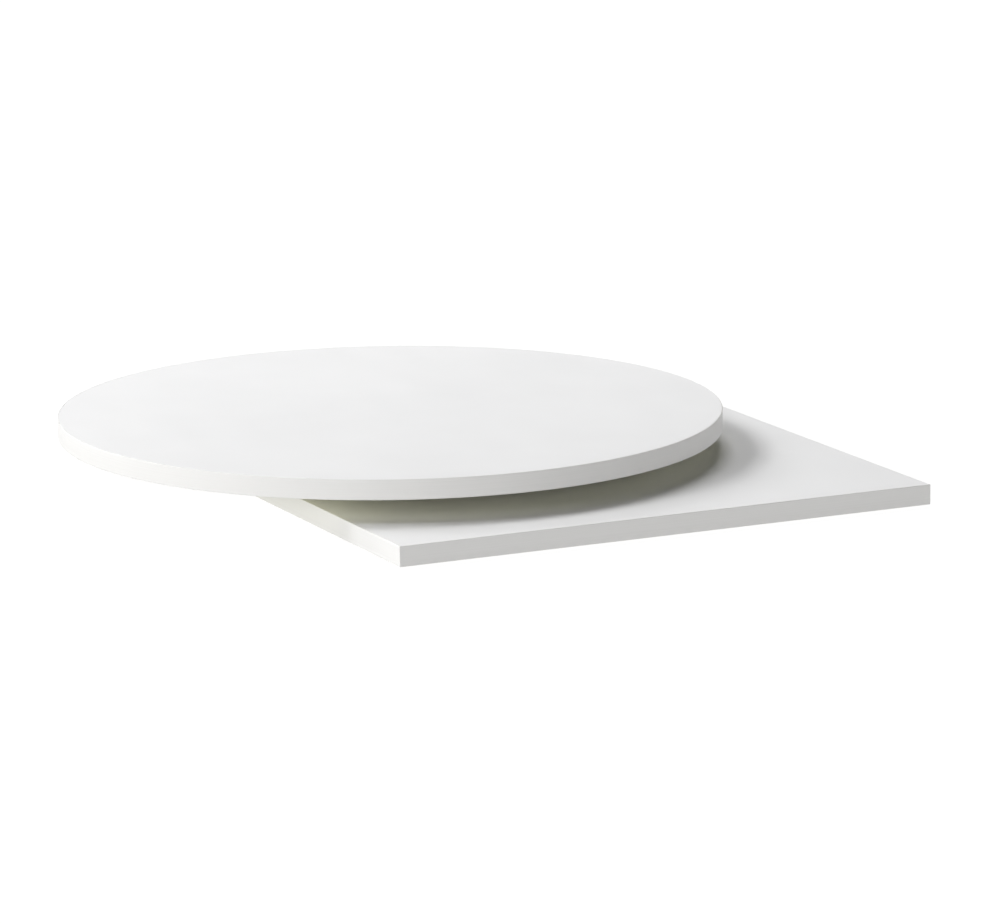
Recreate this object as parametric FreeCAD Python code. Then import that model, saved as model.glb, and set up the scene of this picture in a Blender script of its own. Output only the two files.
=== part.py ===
"""Lazy susan turntable: a round laminated top that spins on a low ball bearing above a square laminated base.

Millimetres, +Z up. The origin is on the spin axis, at the surface that the turntable stands on.
X and Y run along the sides of the base. The base is set off along its diagonal, towards +X and -Y, so the
round top overhangs the two sides of the base that lie nearest the spin axis.
"""

import math
import os

import FreeCAD, Part

from FreeCAD import Vector

# ---- Driving sizes ----------------------------------------------------------------------------------

# Round top and square base, both laminated boards with a glued edge band
disc_diameter = 600.0
disc_thickness = 18.0
base_side = 510.0
base_thickness = 18.0
bearing_inset = 154.0  # from the spin axis to each of the base's two near sides
laminate = 0.8
edge_band = 1.0
arris_radius = 0.7  # rounding of the edge band's outer corners

# Ball bearing between two formed steel plates
bearing_height = 20.0
plate_side = 230.0
plate_corner_radius = 18.0
sheet = 2.0
ball_diameter = 8.0
groove_inset = 30.0  # from the plate's sides to the middle of the ball groove
ball_count = 30
ball_clearance = 0.05
groove_half_angle = 60.0  # degrees of groove each side of the ball's lowest point
ridge_run = 3.5  # horizontal run of the ridge's sloping wall
pressing_margin = 4.0  # flat plate round the ridge that is pressed with it

# Cage that keeps the balls apart
cage_thickness = 2.0
cage_width = 17.0
cage_pocket_clearance = 0.15

# Centre pivot, which stops the two plates from parting
pivot_diameter = 12.0
pivot_head_diameter = 26.0
pivot_head_height = 2.4
pivot_fit = 0.05
boss_radius = 22.0
boss_run = 6.0
boss_gap = 6.0  # clear height between the two plates' bosses
bush_wall = 2.0
bush_flange_diameter = 32.0
axial_play = 0.1
washer_diameter = 26.0
washer_thickness = 1.0
nut_across_flats = 17.0
nut_chamfer = 0.5
pivot_headroom = 1.0  # between the pivot's end and the round top

# Pan-head wood screws with a cross recess
screw_diameter = 4.0
screw_length = 14.0
screw_tip = 4.0
screw_head_diameter = 8.4
screw_crown_diameter = 6.0
screw_head_height = 2.4
screw_hole_diameter = 4.6
screw_inset = 20.0  # from the plate's sides to the screw's axis
pilot_fit = 0.05
pilot_spare_depth = 1.0
recess_length = 4.4
recess_width = 0.9
recess_depth = 1.4

# Hole in the base through which the upper plate's screws are driven, and its plug
access_hole_diameter = 22.0
plug_flange_diameter = 27.0
plug_flange_thickness = 1.0
plug_fit = 0.1
plug_chamfer = 1.0

# Rubber pads under the base
pad_diameter = 20.0
pad_height = 2.0
pad_chamfer = 0.4
pad_inset = 32.0  # from the base's sides to the centre of each corner pad

cut_margin = 1.0  # how far a cutting shape runs past the face that it cuts

# ---- Levels and places that follow from them --------------------------------------------------------

disc_radius = disc_diameter / 2
base_bottom = pad_height
base_top = base_bottom + base_thickness
disc_bottom = base_top + bearing_height
disc_top = disc_bottom + disc_thickness

base_low = -bearing_inset
base_high = base_side - bearing_inset
base_centre_x = (base_low + base_high) / 2
base_centre_y = -base_centre_x

ball_radius = ball_diameter / 2
ball_circle_radius = plate_side / 2 - groove_inset
ball_level = base_top + bearing_height / 2
pivot_bore = pivot_diameter / 2 + pivot_fit
collar_radius = pivot_bore + bush_wall
screw_reach = plate_side / 2 - screw_inset
access_hole_x = screw_reach * math.sqrt(2)

UP = Vector(0, 0, 1)
ORIGIN = Vector(0, 0, 0)

os.makedirs("parts", exist_ok=True)


# ---- Helpers ----------------------------------------------------------------------------------------

def save(name, shape):
    """Writes one named piece, or one group of alike pieces, as a STEP file."""
    if not shape.isValid():
        raise ValueError(name + " is not a valid shape")
    shape.exportStep("parts/" + name + ".step")
    print(name, len(shape.Solids), "solids,", round(shape.Volume / 1000.0, 2), "cm3")


def cylinder(radius, low, high, x=0.0, y=0.0):
    """An upright cylinder between two levels."""
    return Part.makeCylinder(radius, high - low, Vector(x, y, low), UP)


def hole(radius, low, high, x=0.0, y=0.0):
    """A cylinder that cuts right through the stretch between two levels."""
    return cylinder(radius, low - cut_margin, high + cut_margin, x, y)


def ring(outer, inner, low, high, x=0.0, y=0.0):
    """An upright tube or washer between two levels."""
    return cylinder(outer, low, high, x, y).cut(hole(inner, low, high, x, y))


def block(x_low, x_high, y_low, y_high, z_low, z_high):
    """A box between two corners."""
    return Part.makeBox(x_high - x_low, y_high - y_low, z_high - z_low, Vector(x_low, y_low, z_low))


def turned(points):
    """Revolves a closed outline of (radius, height) points about the spin axis."""
    corners = [Vector(r, 0, z) for r, z in points]
    outline = Part.makePolygon(corners + [corners[0]])
    return Part.Face(outline).revolve(ORIGIN, UP, 360)


def corner_places(reach):
    """The four corners of a square about the spin axis."""
    return [(sx * reach, sy * reach) for sx in (-1, 1) for sy in (-1, 1)]


def flipped(shape):
    """The same shape turned upside down about the bearing's middle level."""
    return shape.mirror(Vector(0, 0, ball_level), UP)


# ---- Formed bearing plate ---------------------------------------------------------------------------

def shifted_line(p, q, distance):
    """The line through p and q moved sideways by distance, to the right of the way from p to q."""
    along_r, along_z = q[0] - p[0], q[1] - p[1]
    length = math.hypot(along_r, along_z)
    side_r, side_z = along_z / length, -along_r / length
    return (p[0] + side_r * distance, p[1] + side_z * distance), (along_r / length, along_z / length)


def at_height(line, z):
    """Where a line given by a point and a direction crosses a height."""
    (start_r, start_z), (dir_r, dir_z) = line
    return (start_r + dir_r * (z - start_z) / dir_z, z)


def on_circle(line, centre, radius):
    """Where a rising line given by a point and a direction first meets a circle."""
    (start_r, start_z), (dir_r, dir_z) = line
    gap_r, gap_z = start_r - centre[0], start_z - centre[1]
    half = gap_r * dir_r + gap_z * dir_z
    rest = gap_r * gap_r + gap_z * gap_z - radius * radius
    step = -half - math.sqrt(half * half - rest)
    return (start_r + dir_r * step, start_z + dir_z * step)


def formed_section(hole_radius):
    """Half section of the lower plate's round part: a raised centre boss and a ridge that carries the ball
    groove, pressed in sheet of one thickness. Heights are above the board's face."""
    middle = bearing_height / 2
    ball_centre = (ball_circle_radius, middle)
    groove_radius = ball_radius + ball_clearance
    half_angle = math.radians(groove_half_angle)
    crest_height = middle - groove_radius * math.cos(half_angle)
    crest_near = groove_radius * math.sin(half_angle)
    crest_far = crest_near + sheet
    foot = crest_far + ridge_run
    boss_top = middle - boss_gap / 2
    under_radius = groove_radius + sheet

    boss_edge = (boss_radius, boss_top)
    boss_foot = (boss_radius + boss_run, sheet)
    inner_foot = (ball_circle_radius - foot, sheet)
    inner_crest = (ball_circle_radius - crest_far, crest_height)
    outer_crest = (ball_circle_radius + crest_far, crest_height)
    outer_foot = (ball_circle_radius + foot, sheet)
    rim = ball_circle_radius + foot + pressing_margin

    under_boss = shifted_line(boss_edge, boss_foot, sheet)
    inner_wall = shifted_line(inner_foot, inner_crest, sheet)
    outer_wall = shifted_line(outer_foot, outer_crest, -sheet)
    inner_under = on_circle(inner_wall, ball_centre, under_radius)
    outer_under = on_circle(outer_wall, ball_centre, under_radius)

    def point(place):
        return Vector(place[0], 0, place[1])

    def lines(places):
        return [Part.makeLine(point(a), point(b)) for a, b in zip(places, places[1:])]

    def arc(start, radius, end):
        lowest = (ball_circle_radius, middle - radius)
        return [Part.Arc(point(start), point(lowest), point(end)).toShape()]

    groove_start = (ball_circle_radius - crest_near, crest_height)
    groove_end = (ball_circle_radius + crest_near, crest_height)
    top_side = lines([(hole_radius, boss_top), boss_edge, boss_foot, inner_foot, inner_crest, groove_start])
    top_side += arc(groove_start, groove_radius, groove_end)
    top_side += lines([groove_end, outer_crest, outer_foot, (rim, sheet), (rim, 0), at_height(outer_wall, 0)])
    under_side = lines([at_height(outer_wall, 0), outer_under])
    under_side += arc(outer_under, under_radius, inner_under)
    under_side += lines([inner_under, at_height(inner_wall, 0), at_height(under_boss, 0),
                         at_height(under_boss, boss_top - sheet), (hole_radius, boss_top - sheet),
                         (hole_radius, boss_top)])
    return Part.Face(Part.Wire(top_side + under_side)), rim


def formed_plate(hole_radius):
    """Square plate with rounded corners, pressed boss and ridge, and four screw holes, on the base's face."""
    section, rim = formed_section(hole_radius)
    middle_part = section.revolve(ORIGIN, UP, 360)
    half = plate_side / 2
    blank = block(-half, half, -half, half, 0, sheet)
    corners = [e for e in blank.Edges if abs(e.Vertexes[0].Z - e.Vertexes[1].Z) > sheet / 2]
    blank = blank.makeFillet(plate_corner_radius, corners)
    plate = blank.cut(hole(rim, 0, sheet)).fuse(middle_part).removeSplitter()
    for x, y in corner_places(screw_reach):
        plate = plate.cut(hole(screw_hole_diameter / 2, 0, sheet, x, y))
    plate.translate(Vector(0, 0, base_top))
    return plate


def make_bearing_plates():
    save("lower_bearing_plate", formed_plate(pivot_bore))
    save("upper_bearing_plate", flipped(formed_plate(collar_radius + pivot_fit)))


# ---- Balls and cage ---------------------------------------------------------------------------------

def ball_places():
    """Centres of the balls, evenly spaced round their circle."""
    for index in range(ball_count):
        angle = 2 * math.pi * index / ball_count
        yield ball_circle_radius * math.cos(angle), ball_circle_radius * math.sin(angle)


def make_balls_and_cage():
    balls = [Part.makeSphere(ball_radius, Vector(x, y, ball_level)) for x, y in ball_places()]
    save("bearing_balls", Part.makeCompound(balls))

    low, high = ball_level - cage_thickness / 2, ball_level + cage_thickness / 2
    cage = ring(ball_circle_radius + cage_width / 2, ball_circle_radius - cage_width / 2, low, high)
    pocket_radius = ball_radius + cage_pocket_clearance
    pockets = [hole(pocket_radius, low, high, x, y) for x, y in ball_places()]
    save("ball_cage", cage.cut(Part.makeCompound(pockets)))


# ---- Centre pivot -----------------------------------------------------------------------------------

def make_pivot():
    lower_boss_top = ball_level - boss_gap / 2
    lower_boss_under = lower_boss_top - sheet
    upper_boss_under = ball_level + boss_gap / 2
    upper_boss_top = upper_boss_under + sheet
    washer_level = upper_boss_top + axial_play
    nut_level = washer_level + washer_thickness
    pivot_top = disc_bottom - pivot_headroom

    head = cylinder(pivot_head_diameter / 2, lower_boss_under - pivot_head_height, lower_boss_under)
    shank = cylinder(pivot_diameter / 2, lower_boss_under - pivot_head_height, pivot_top)
    save("centre_pivot_bolt", head.fuse(shank).removeSplitter())

    flange = cylinder(bush_flange_diameter / 2, lower_boss_top, upper_boss_under - axial_play)
    collar = cylinder(collar_radius, lower_boss_top, washer_level)
    bush = flange.fuse(collar).removeSplitter().cut(hole(pivot_bore, lower_boss_top, washer_level))
    save("pivot_bush", bush)

    save("pivot_washer", ring(washer_diameter / 2, pivot_bore, washer_level, nut_level))

    corner_radius = nut_across_flats / 2 / math.cos(math.pi / 6)
    corners = [Vector(corner_radius * math.cos(math.pi * k / 3), corner_radius * math.sin(math.pi * k / 3),
                      nut_level) for k in range(7)]
    hexagon = Part.Face(Part.makePolygon(corners)).extrude(Vector(0, 0, pivot_top - nut_level))
    bevel = turned([(0, nut_level), (corner_radius, nut_level), (corner_radius, pivot_top - nut_chamfer),
                    (corner_radius - 2 * nut_chamfer, pivot_top), (0, pivot_top)])
    nut = hexagon.common(bevel).cut(hole(pivot_bore, nut_level, pivot_top))
    save("pivot_lock_nut", nut)


# ---- Screws -----------------------------------------------------------------------------------------

def lower_screw(x, y):
    """Pan-head screw, driven down through the lower plate into the base."""
    seat = base_top + sheet
    tip = seat - screw_length
    crown = seat + screw_head_height
    radius, head_radius, crown_radius = screw_diameter / 2, screw_head_diameter / 2, screw_crown_diameter / 2
    body = turned([(0, tip), (radius, tip + screw_tip), (radius, seat), (head_radius, seat),
                   (head_radius, seat + screw_head_height / 2), (crown_radius, crown), (0, crown)])
    recess_low, recess_high = crown - recess_depth, crown + cut_margin
    half_length, half_width = recess_length / 2, recess_width / 2
    cross = block(-half_length, half_length, -half_width, half_width, recess_low, recess_high)
    cross = cross.fuse(block(-half_width, half_width, -half_length, half_length, recess_low, recess_high))
    screw = body.cut(cross)
    screw.translate(Vector(x, y, 0))
    return screw


def make_screws():
    screws = [lower_screw(x, y) for x, y in corner_places(screw_reach)]
    save("lower_plate_screws", Part.makeCompound(screws))
    save("upper_plate_screws", Part.makeCompound([flipped(screw) for screw in screws]))


def pilot_holes(face_level, way):
    """Holes that the screws bite into, from a board's face down (way -1) or up (way 1)."""
    depth = screw_length - sheet + pilot_spare_depth
    radius = screw_diameter / 2 + pilot_fit
    low, high = sorted((face_level - way * cut_margin, face_level + way * depth))
    return Part.makeCompound([cylinder(radius, low, high, x, y) for x, y in corner_places(screw_reach)])


# ---- Round top --------------------------------------------------------------------------------------

def rounded_strip(inner, outer, low, high):
    """Section of an edge band in the XZ plane: flat inside, its two outer corners rounded."""
    r = arris_radius
    bend = r * math.sqrt(0.5)
    p = [Vector(inner, 0, low), Vector(outer - r, 0, low), Vector(outer, 0, low + r),
         Vector(outer, 0, high - r), Vector(outer - r, 0, high), Vector(inner, 0, high)]
    low_middle = Vector(outer - r + bend, 0, low + r - bend)
    high_middle = Vector(outer - r + bend, 0, high - r + bend)
    edges = [
        Part.makeLine(p[0], p[1]),
        Part.Arc(p[1], low_middle, p[2]).toShape(),
        Part.makeLine(p[2], p[3]),
        Part.Arc(p[3], high_middle, p[4]).toShape(),
        Part.makeLine(p[4], p[5]),
        Part.makeLine(p[5], p[0]),
    ]
    return Part.Face(Part.Wire(edges))


def make_round_top():
    radius = disc_radius - edge_band
    core_low, core_high = disc_bottom + laminate, disc_top - laminate
    pilots = pilot_holes(disc_bottom, 1)
    save("disc_core", cylinder(radius, core_low, core_high).cut(pilots))
    save("disc_top_laminate", cylinder(radius, core_high, disc_top))
    save("disc_backing_laminate", cylinder(radius, disc_bottom, core_low).cut(pilots))
    band = rounded_strip(radius, disc_radius, disc_bottom, disc_top).revolve(ORIGIN, UP, 360)
    save("disc_edge_band", band)


# ---- Square base ------------------------------------------------------------------------------------

def base_sheet(low, high):
    """A layer of the base, inside its edge bands, with the access hole."""
    x_low, x_high = base_low + edge_band, base_high - edge_band
    layer = block(x_low, x_high, -x_high, -x_low, low, high)
    return layer.cut(hole(access_hole_diameter / 2, low, high, access_hole_x, 0))


def base_band(length):
    """An edge band along X, standing on the base's bottom level, with its outer face towards -Y."""
    section = rounded_strip(0, edge_band, base_bottom, base_top)
    section.rotate(ORIGIN, UP, -90)
    section.translate(Vector(-length / 2, 0, 0))
    return section.extrude(Vector(length, 0, 0))


def make_base():
    core_low, core_high = base_bottom + laminate, base_top - laminate
    pilots = pilot_holes(base_top, -1)
    save("base_core", base_sheet(core_low, core_high).cut(pilots))
    save("base_top_laminate", base_sheet(core_high, base_top).cut(pilots))
    save("base_backing_laminate", base_sheet(base_bottom, core_low))

    to_band = base_side / 2 - edge_band
    for side, turn, length in (("front", 0, base_side), ("right", 90, base_side - 2 * edge_band),
                               ("back", 180, base_side), ("left", 270, base_side - 2 * edge_band)):
        band = base_band(length)
        band.translate(Vector(0, -to_band, 0))
        band.rotate(ORIGIN, UP, turn)
        band.translate(Vector(base_centre_x, base_centre_y, 0))
        save("base_edge_band_" + side, band)


def make_plug():
    """Solid bung with a thin flange that fills the access hole from below."""
    stem_radius, flange_radius = access_hole_diameter / 2 - plug_fit, plug_flange_diameter / 2
    flange_low = base_bottom - plug_flange_thickness
    plug = turned([(0, flange_low), (flange_radius, flange_low), (flange_radius, base_bottom),
                   (stem_radius, base_bottom), (stem_radius, base_top - plug_chamfer),
                   (stem_radius - plug_chamfer, base_top), (0, base_top)])
    plug.translate(Vector(access_hole_x, 0, 0))
    save("access_hole_plug", plug)


def make_pads():
    """Four pads near the base's corners, and one right under the bearing."""
    radius = pad_diameter / 2
    pad = turned([(0, 0), (radius - pad_chamfer, 0), (radius, pad_chamfer), (radius, pad_height),
                  (0, pad_height)])
    reach = base_side / 2 - pad_inset
    places = [(0.0, 0.0)] + [(base_centre_x + x, base_centre_y + y) for x, y in corner_places(reach)]
    pads = []
    for x, y in places:
        copy = pad.copy()
        copy.translate(Vector(x, y, 0))
        pads.append(copy)
    save("rubber_foot_pads", Part.makeCompound(pads))


make_base()
make_plug()
make_pads()
make_bearing_plates()
make_balls_and_cage()
make_pivot()
make_screws()
make_round_top()
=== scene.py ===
"""Looks of the lazy susan turntable: materials, smooth round top, light and camera around the CAD frame."""

import math

import bmesh
import bpy
from mathutils import Matrix, Vector


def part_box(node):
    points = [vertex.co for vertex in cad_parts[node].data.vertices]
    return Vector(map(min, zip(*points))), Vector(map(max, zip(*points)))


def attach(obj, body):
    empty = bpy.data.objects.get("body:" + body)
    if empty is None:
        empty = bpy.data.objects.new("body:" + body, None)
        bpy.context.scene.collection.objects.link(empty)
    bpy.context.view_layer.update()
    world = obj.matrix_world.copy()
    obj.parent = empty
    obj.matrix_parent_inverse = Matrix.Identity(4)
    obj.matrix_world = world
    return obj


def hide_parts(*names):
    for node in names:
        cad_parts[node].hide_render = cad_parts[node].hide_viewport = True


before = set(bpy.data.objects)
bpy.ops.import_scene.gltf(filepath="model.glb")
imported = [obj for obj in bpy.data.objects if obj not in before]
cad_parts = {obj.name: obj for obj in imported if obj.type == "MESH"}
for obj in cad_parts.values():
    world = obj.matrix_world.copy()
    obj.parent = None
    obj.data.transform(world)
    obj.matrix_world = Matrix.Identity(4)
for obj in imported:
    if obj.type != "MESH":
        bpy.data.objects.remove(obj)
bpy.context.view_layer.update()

MM = 0.001

# ---- Camera and light -------------------------------------------------------------------------------

# The camera looks along an azimuth measured from +Y, with a long lens from a few metres away
VIEW_AZIMUTH = math.radians(-25.49)
VIEW_ELEVATION = math.radians(12.16)
VIEW_ROLL = math.radians(-0.57)
VIEW_DISTANCE = 4.782
AIM_RIGHT = 0.0985  # the aim point lies this far to the right of the round top's centre
AIM_DOWN = 0.0475
LENS = 190.5
SENSOR = 36.0
LENS_SHIFT = -0.002

# Soft boxes around the table. Azimuths are in the view's own axes: 0 is to the right, 90 beyond the table
LIGHT_DISTANCE = 5.0
HIGH_BOX = (2.4, 1.8)
LOW_BOX = (2.2, 1.2)
SOFT_BOXES = (  # name, azimuth and elevation in degrees, size, power in watts
    ("left_softbox", 180, 48, HIGH_BOX, 112.0),
    ("back_left_softbox", 135, 33, HIGH_BOX, 100.0),
    ("overhead_softbox", 90, 62, HIGH_BOX, 107.0),
    ("front_left_softbox", 225, 20, HIGH_BOX, 45.0),
    ("low_left_strip", 205, 8, LOW_BOX, 60.0),
    ("low_front_strip", 265, 8, LOW_BOX, 60.0),
    ("low_back_right_strip", 45, 8, LOW_BOX, 42.0),
    ("low_right_strip", 330, 8, LOW_BOX, 14.0),
)
GLARE_ELEVATION = math.radians(25.0)  # lower lights aren't mirrored, so the flat faces don't glare
FLOOR_REACH = 40.0
FLOOR_STEP = 1 * MM  # the glowing floor lies this far under the one that is looked at
FLOOR_ALBEDO = 0.1
FLOOR_GLOW = 0.65  # throws light up under the overhang
BACKDROP_ALBEDO = 0.12
BACKDROP_GLOW = 0.95
SKY_GLOW = 1.05

# ---- Sizes of visible detail ------------------------------------------------------------------------

ROUND_SEGMENTS = 720
ARRIS_RADIUS = 0.7 * MM
ARRIS_STEPS = 8
JOINT_CHAMFER = 0.12 * MM  # hairline where a sheet meets the edge band
FACE_RING_STEP = 20 * MM
SMOOTH_ANGLE = math.radians(30.0)  # edges sharper than this stay crisp
NOISE_RANGE = (0.3, 0.7)  # most of a noise texture's values lie in here


# ---- Mesh helpers -----------------------------------------------------------------------------------

def add_mesh(name, vertices, faces):
    """Makes an object from vertices and faces, smooth but for its sharp edges."""
    mesh = bpy.data.meshes.new(name)
    mesh.from_pydata(vertices, [], faces)
    builder = bmesh.new()
    builder.from_mesh(mesh)
    bmesh.ops.recalc_face_normals(builder, faces=builder.faces)
    for face in builder.faces:
        face.smooth = True
    for edge in builder.edges:
        edge.smooth = len(edge.link_faces) == 2 and edge.calc_face_angle() < SMOOTH_ANGLE
    builder.to_mesh(mesh)
    builder.free()
    piece = bpy.data.objects.new(name, mesh)
    bpy.context.scene.collection.objects.link(piece)
    return piece


def lathe(name, outline):
    """Turns a closed outline of (radius, height) points about the spin axis."""
    vertices, rows = [], []
    for radius, height in outline:
        count = 1 if radius == 0 else ROUND_SEGMENTS
        rows.append([len(vertices) + k for k in range(count)])
        for k in range(count):
            angle = 2 * math.pi * k / ROUND_SEGMENTS
            vertices.append((radius * math.cos(angle), radius * math.sin(angle), height))
    faces = []
    for this, following in zip(rows, rows[1:] + rows[:1]):
        if len(this) == 1 and len(following) == 1:
            continue
        for k in range(ROUND_SEGMENTS):
            after = (k + 1) % ROUND_SEGMENTS
            if len(this) == 1:
                faces.append((this[0], following[k], following[after]))
            elif len(following) == 1:
                faces.append((this[k], following[0], this[after]))
            else:
                faces.append((this[k], following[k], following[after], this[after]))
    return add_mesh(name, vertices, faces)


def face_rings(radius, height):
    """Points from near the rim to the axis, so that a flat round face is made of even rings."""
    count = round(radius / FACE_RING_STEP)
    return [(radius * (count - k) / count, height) for k in range(1, count + 1)]


# ---- Node helpers -----------------------------------------------------------------------------------

def new_material(name, roughness, metallic=0.0):
    """A principled material, returned with its node tree and shader."""
    material = bpy.data.materials.new(name)
    material.use_nodes = True
    shader = material.node_tree.nodes["Principled BSDF"]
    shader.inputs["Roughness"].default_value = roughness
    shader.inputs["Metallic"].default_value = metallic
    return material, material.node_tree, shader


def noise(tree, size, detail=2.0, stretch=(1.0, 1.0, 1.0), turn=0.0):
    """Noise whose features are about size metres across, stretched by a factor along each axis."""
    coordinates = tree.nodes.new("ShaderNodeTexCoord")
    mapping = tree.nodes.new("ShaderNodeMapping")
    mapping.inputs["Rotation"].default_value = (0.0, 0.0, turn)
    mapping.inputs["Scale"].default_value = [1.0 / (size * factor) for factor in stretch]
    texture = tree.nodes.new("ShaderNodeTexNoise")
    texture.inputs["Scale"].default_value = 1.0
    texture.inputs["Detail"].default_value = detail
    tree.links.new(coordinates.outputs["Object"], mapping.inputs["Vector"])
    tree.links.new(mapping.outputs["Vector"], texture.inputs["Vector"])
    return texture.outputs["Fac"]


def remap(tree, source, from_low, from_high, to_low, to_high):
    """Maps one range of a value onto another, and clamps it there."""
    node = tree.nodes.new("ShaderNodeMapRange")
    node.inputs["From Min"].default_value = from_low
    node.inputs["From Max"].default_value = from_high
    node.inputs["To Min"].default_value = to_low
    node.inputs["To Max"].default_value = to_high
    tree.links.new(source, node.inputs["Value"])
    return node.outputs["Result"]


def spread(tree, source, low=0.0, high=1.0):
    """Spreads the usual range of a noise texture over low to high."""
    return remap(tree, source, *NOISE_RANGE, low, high)


def blend_colours(tree, source, low_colour, high_colour):
    """Runs from one colour to another as the source goes from 0 to 1."""
    ramp = tree.nodes.new("ShaderNodeValToRGB")
    ramp.color_ramp.elements[0].color = (*low_colour, 1.0)
    ramp.color_ramp.elements[1].color = (*high_colour, 1.0)
    tree.links.new(source, ramp.inputs["Fac"])
    return ramp.outputs["Color"]


def relief(tree, shader, layers):
    """Bumps the surface by each (source, height in metres) layer in turn."""
    normal = None
    for source, height in layers:
        bump = tree.nodes.new("ShaderNodeBump")
        bump.inputs["Distance"].default_value = height
        tree.links.new(source, bump.inputs["Height"])
        if normal is not None:
            tree.links.new(normal, bump.inputs["Normal"])
        normal = bump.outputs["Normal"]
    tree.links.new(normal, shader.inputs["Normal"])


# ---- Materials --------------------------------------------------------------------------------------

def make_face_laminate():
    """White melamine face: pearl grain, soft wiping marks in the sheen, hairline scratches."""
    material, tree, shader = new_material("face_laminate", 0.55)
    shader.inputs["Specular IOR Level"].default_value = 0.12
    cloud = spread(tree, noise(tree, 120 * MM, 3.0))
    colour = blend_colours(tree, cloud, (0.866, 0.866, 0.868), (0.885, 0.885, 0.887))
    tree.links.new(colour, shader.inputs["Base Color"])
    wiping = spread(tree, noise(tree, 35 * MM, 4.0, (1.0, 3.0, 1.0), math.radians(20)), 0.50, 0.60)
    tree.links.new(wiping, shader.inputs["Roughness"])
    pearl = noise(tree, 1.1 * MM, 2.0)
    fine = noise(tree, 0.3 * MM, 1.0)
    streaks = noise(tree, 0.25 * MM, 0.0, (240.0, 1.0, 1.0), math.radians(35))
    scratch = remap(tree, streaks, 0.80, 0.86, 0.0, 1.0)
    relief(tree, shader, [(pearl, 0.020 * MM), (fine, 0.006 * MM), (scratch, -0.01 * MM)])
    return material


def make_edge_band():
    """White plastic edge band: lengthwise extrusion lines, a white whose warm tint is painted warm bounce
    light, light scuffs.
    """
    material, tree, shader = new_material("edge_band_plastic", 0.4)
    lines = noise(tree, 0.5 * MM, 2.0, (400.0, 400.0, 1.0))
    tone = spread(tree, lines)
    # The warm tint of these whites is painted: it stands for the warm bounce light on the rim.
    colour = blend_colours(tree, tone, (0.797, 0.792, 0.776), (0.822, 0.817, 0.802))
    tree.links.new(colour, shader.inputs["Base Color"])
    scuffs = remap(tree, noise(tree, 9 * MM, 5.0), 0.35, 0.7, 0.36, 0.5)
    tree.links.new(scuffs, shader.inputs["Roughness"])
    relief(tree, shader, [(lines, 0.015 * MM), (noise(tree, 0.8 * MM, 2.0), 0.008 * MM)])
    return material


def make_backing_laminate():
    """Balancing sheet of a plainer grade: a yellowish white, faintly mottled by its paper fibres."""
    material, tree, shader = new_material("backing_laminate", 0.6)
    mottle = spread(tree, noise(tree, 14 * MM, 5.0))
    colour = blend_colours(tree, mottle, (0.850, 0.842, 0.620), (0.872, 0.865, 0.650))
    tree.links.new(colour, shader.inputs["Base Color"])
    fibres = noise(tree, 0.4 * MM, 3.0, (10.0, 1.0, 1.0))
    relief(tree, shader, [(fibres, 0.03 * MM), (noise(tree, 3 * MM, 2.0), 0.05 * MM)])
    return material


def make_board_core():
    """Pressed chips of wood, seen only inside drilled holes."""
    material, tree, shader = new_material("board_core", 0.85)
    chips = spread(tree, noise(tree, 2.5 * MM, 4.0))
    colour = blend_colours(tree, chips, (0.36, 0.25, 0.14), (0.62, 0.48, 0.31))
    tree.links.new(colour, shader.inputs["Base Color"])
    relief(tree, shader, [(chips, 0.3 * MM)])
    return material


def make_zinc_plate():
    """Zinc-plated sheet: rolling lines, a faint warm and cool film, duller patches."""
    material, tree, shader = new_material("zinc_plate", 0.35, metallic=1.0)
    film = spread(tree, noise(tree, 40 * MM, 3.0))
    colour = blend_colours(tree, film, (0.60, 0.62, 0.66), (0.70, 0.69, 0.64))
    tree.links.new(colour, shader.inputs["Base Color"])
    patches = spread(tree, noise(tree, 18 * MM, 5.0), 0.26, 0.46)
    tree.links.new(patches, shader.inputs["Roughness"])
    rolling = noise(tree, 0.25 * MM, 2.0, (120.0, 1.0, 1.0))
    relief(tree, shader, [(rolling, 0.012 * MM)])
    return material


def make_fastener_steel():
    """Bright plated fastener steel with fine turning marks."""
    material, tree, shader = new_material("fastener_steel", 0.3, metallic=1.0)
    tone = spread(tree, noise(tree, 3 * MM, 3.0))
    colour = blend_colours(tree, tone, (0.56, 0.57, 0.58), (0.68, 0.67, 0.63))
    tree.links.new(colour, shader.inputs["Base Color"])
    tree.links.new(spread(tree, noise(tree, 1.5 * MM, 4.0), 0.22, 0.42), shader.inputs["Roughness"])
    relief(tree, shader, [(noise(tree, 0.15 * MM, 2.0, (1.0, 1.0, 8.0)), 0.01 * MM)])
    return material


def make_ball_steel():
    """Polished bearing steel with a thin smear of grease."""
    material, tree, shader = new_material("ball_steel", 0.1, metallic=1.0)
    smear = remap(tree, noise(tree, 3 * MM, 3.0), 0.4, 0.65, 0.0, 1.0)
    colour = blend_colours(tree, smear, (0.76, 0.77, 0.79), (0.70, 0.68, 0.62))
    tree.links.new(colour, shader.inputs["Base Color"])
    tree.links.new(remap(tree, smear, 0.0, 1.0, 0.07, 0.22), shader.inputs["Roughness"])
    relief(tree, shader, [(noise(tree, 0.4 * MM, 1.0), 0.002 * MM)])
    return material


def make_moulded_plastic(name, dark, light, grain=0.5 * MM, roughness=(0.42, 0.58)):
    """Moulded plastic or rubber: fine spark grain and slight tone clouds."""
    material, tree, shader = new_material(name, roughness[0])
    cloud = spread(tree, noise(tree, 8 * MM, 4.0))
    tree.links.new(blend_colours(tree, cloud, dark, light), shader.inputs["Base Color"])
    tree.links.new(spread(tree, noise(tree, 5 * MM, 4.0), *roughness), shader.inputs["Roughness"])
    relief(tree, shader, [(noise(tree, grain, 2.0), 0.02 * MM)])
    return material


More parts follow.
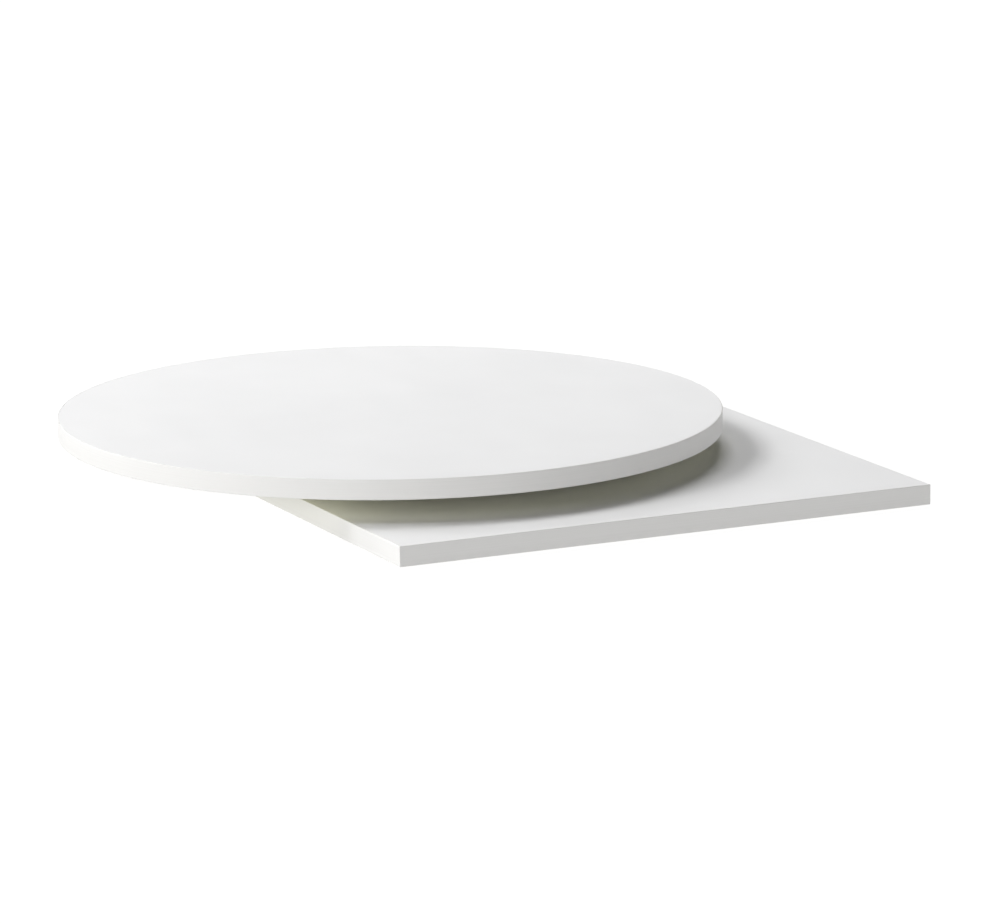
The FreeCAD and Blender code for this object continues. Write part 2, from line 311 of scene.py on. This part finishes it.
face_laminate = make_face_laminate()
edge_band = make_edge_band()
backing_laminate = make_backing_laminate()
board_core = make_board_core()
zinc_plate = make_zinc_plate()
fastener_steel = make_fastener_steel()
ball_steel = make_ball_steel()
cage_plastic = make_moulded_plastic("cage_plastic", (0.66, 0.62, 0.50), (0.74, 0.70, 0.58))
bush_plastic = make_moulded_plastic("bush_plastic", (0.74, 0.74, 0.71), (0.82, 0.82, 0.79),
                                    0.3 * MM, (0.3, 0.42))
plug_rubber = make_moulded_plastic("plug_rubber", (0.30, 0.30, 0.29), (0.36, 0.36, 0.35),
                                   0.7 * MM, (0.6, 0.75))
foot_rubber = make_moulded_plastic("foot_rubber", (0.022, 0.022, 0.022), (0.040, 0.039, 0.037),
                                   0.7 * MM, (0.62, 0.8))

NODE_MATERIALS = {
    "disc_core": board_core,
    "base_core": board_core,
    "disc_top_laminate": face_laminate,
    "base_top_laminate": face_laminate,
    "disc_backing_laminate": backing_laminate,
    "base_backing_laminate": backing_laminate,
    "disc_edge_band": edge_band,
    "base_edge_band_front": edge_band,
    "base_edge_band_right": edge_band,
    "base_edge_band_back": edge_band,
    "base_edge_band_left": edge_band,
    "lower_bearing_plate": zinc_plate,
    "upper_bearing_plate": zinc_plate,
    "lower_plate_screws": fastener_steel,
    "upper_plate_screws": fastener_steel,
    "centre_pivot_bolt": fastener_steel,
    "pivot_washer": fastener_steel,
    "pivot_lock_nut": fastener_steel,
    "pivot_bush": bush_plastic,
    "bearing_balls": ball_steel,
    "ball_cage": cage_plastic,
    "access_hole_plug": plug_rubber,
    "rubber_foot_pads": foot_rubber,
}

for node_name, node_material in NODE_MATERIALS.items():
    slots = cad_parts[node_name].material_slots
    for material_slot in slots:
        material_slot.material = node_material


# ---- Smooth round top -------------------------------------------------------------------------------

def make_round_top():
    """Fine-meshed face, backing and edge band in place of the round top's coarser CAD skins."""
    low_corner, high_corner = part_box("disc_edge_band")
    rim = high_corner[0]
    bottom, top = low_corner[2], high_corner[2]
    sheet_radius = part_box("disc_top_laminate")[1][0]
    top_sheet_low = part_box("disc_top_laminate")[0][2]
    backing_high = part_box("disc_backing_laminate")[1][2]

    seam = sheet_radius - JOINT_CHAMFER
    face_side = [(0, top_sheet_low), (sheet_radius, top_sheet_low), (sheet_radius, top - JOINT_CHAMFER)]
    face = lathe("disc_face_sheet", face_side + [(seam, top)] + face_rings(seam, top))
    backing_side = [(0, backing_high), (sheet_radius, backing_high), (sheet_radius, bottom + JOINT_CHAMFER)]
    backing = lathe("disc_backing_sheet", backing_side + [(seam, bottom)] + face_rings(seam, bottom))

    def arris(centre_height, start):
        """Points along a quarter turn of the band's rounded edge, from a starting angle."""
        points = []
        for step in range(ARRIS_STEPS + 1):
            angle = start + math.pi / 2 * step / ARRIS_STEPS
            points.append((rim - ARRIS_RADIUS + ARRIS_RADIUS * math.cos(angle),
                           centre_height + ARRIS_RADIUS * math.sin(angle)))
        return points

    inside = [(sheet_radius, top - JOINT_CHAMFER), (sheet_radius, bottom + JOINT_CHAMFER)]
    lower = [(sheet_radius + JOINT_CHAMFER, bottom)] + arris(bottom + ARRIS_RADIUS, -math.pi / 2)
    upper = arris(top - ARRIS_RADIUS, 0.0) + [(sheet_radius + JOINT_CHAMFER, top)]
    band = lathe("disc_rim_band", inside + lower + upper)
    pieces = (
        (face, "disc_top_laminate", face_laminate, "white_laminate"),
        (backing, "disc_backing_laminate", backing_laminate, "backing_laminate"),
        (band, "disc_edge_band", edge_band, "edge_band"),
    )
    for piece, node, material, slot in pieces:
        piece.data.materials.append(material)
        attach(piece, "turntable")
        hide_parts(node)


make_round_top()


# ---- Floor, light and camera ------------------------------------------------------------------------

view_right = Vector((math.cos(VIEW_AZIMUTH), math.sin(VIEW_AZIMUTH), 0.0))
view_away = Vector((-math.sin(VIEW_AZIMUTH), math.cos(VIEW_AZIMUTH), 0.0))
top_centre = Vector((0.0, 0.0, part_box("disc_top_laminate")[1][2]))


def in_view_axes(right, away, up):
    """A point given by its distances right of, beyond and above the foot of the spin axis."""
    return view_right * right + view_away * away + Vector((0.0, 0.0, up))


def add_area_light(name, azimuth, elevation, distance, size, power):
    """A rectangular soft light that faces the round top's centre."""
    data = bpy.data.lights.new(name, "AREA")
    data.shape = "RECTANGLE"
    data.size, data.size_y = size
    data.energy = power
    light = bpy.data.objects.new(name, data)
    light.location = top_centre + in_view_axes(distance * math.cos(elevation) * math.cos(azimuth),
                                               distance * math.cos(elevation) * math.sin(azimuth),
                                               distance * math.sin(elevation))
    light.rotation_euler = (top_centre - light.location).to_track_quat("-Z", "Y").to_euler()
    light.visible_glossy = elevation > GLARE_ELEVATION
    bpy.context.scene.collection.objects.link(light)


def make_floor(name, height, albedo, glow):
    """A wide, pale, evenly glowing floor."""
    corners = [(x * FLOOR_REACH, y * FLOOR_REACH, height) for x, y in ((-1, -1), (1, -1), (1, 1), (-1, 1))]
    floor = add_mesh(name, corners, [(0, 1, 2, 3)])
    material, _, shader = new_material(name, 0.9)
    shader.inputs["Base Color"].default_value = (albedo, albedo, albedo, 1.0)
    shader.inputs["Specular IOR Level"].default_value = 0.0
    shader.inputs["Emission Color"].default_value = (1.0, 1.0, 1.0, 1.0)
    shader.inputs["Emission Strength"].default_value = glow
    floor.data.materials.append(material)
    return floor


def make_floors():
    """One floor that is looked at, and one just under it that lights the table from below."""
    seen = make_floor("studio_floor", 0.0, BACKDROP_ALBEDO, BACKDROP_GLOW)
    seen.visible_diffuse = False
    seen.visible_glossy = False
    seen.visible_shadow = False
    glowing = make_floor("glowing_floor", -FLOOR_STEP, FLOOR_ALBEDO, FLOOR_GLOW)
    glowing.visible_camera = False


def make_world():
    """A pale backdrop beyond the floor, which adds no light of its own."""
    world = bpy.data.worlds.new("studio")
    world.use_nodes = True
    background = world.node_tree.nodes["Background"]
    background.inputs["Color"].default_value = (1.0, 1.0, 1.0, 1.0)
    background.inputs["Strength"].default_value = SKY_GLOW
    bpy.context.scene.world = world
    world.cycles_visibility.diffuse = False
    world.cycles_visibility.glossy = False


def make_camera():
    """A long lens aimed a little below and to the right of the round top's centre."""
    data = bpy.data.cameras.new("photo_camera")
    data.lens = LENS
    data.sensor_width = SENSOR
    data.shift_y = LENS_SHIFT
    data.clip_end = 5 * FLOOR_REACH
    forward = view_away * math.cos(VIEW_ELEVATION) - Vector((0, 0, math.sin(VIEW_ELEVATION)))
    level_up = view_away * math.sin(VIEW_ELEVATION) + Vector((0, 0, math.cos(VIEW_ELEVATION)))
    place = top_centre + view_right * AIM_RIGHT - level_up * AIM_DOWN - forward * VIEW_DISTANCE
    right = view_right * math.cos(VIEW_ROLL) + level_up * math.sin(VIEW_ROLL)
    up = level_up * math.cos(VIEW_ROLL) - view_right * math.sin(VIEW_ROLL)
    camera = bpy.data.objects.new("photo_camera", data)
    camera.matrix_world = Matrix.Translation(place) @ Matrix((right, up, -forward)).transposed().to_4x4()
    bpy.context.scene.collection.objects.link(camera)
    bpy.context.scene.camera = camera


make_floors()
make_world()
make_camera()
for box_name, box_azimuth, box_elevation, box_size, box_power in SOFT_BOXES:
    add_area_light(box_name, math.radians(box_azimuth), math.radians(box_elevation), LIGHT_DISTANCE,
                   box_size, box_power)
bpy.context.scene.view_settings.view_transform = "Standard"
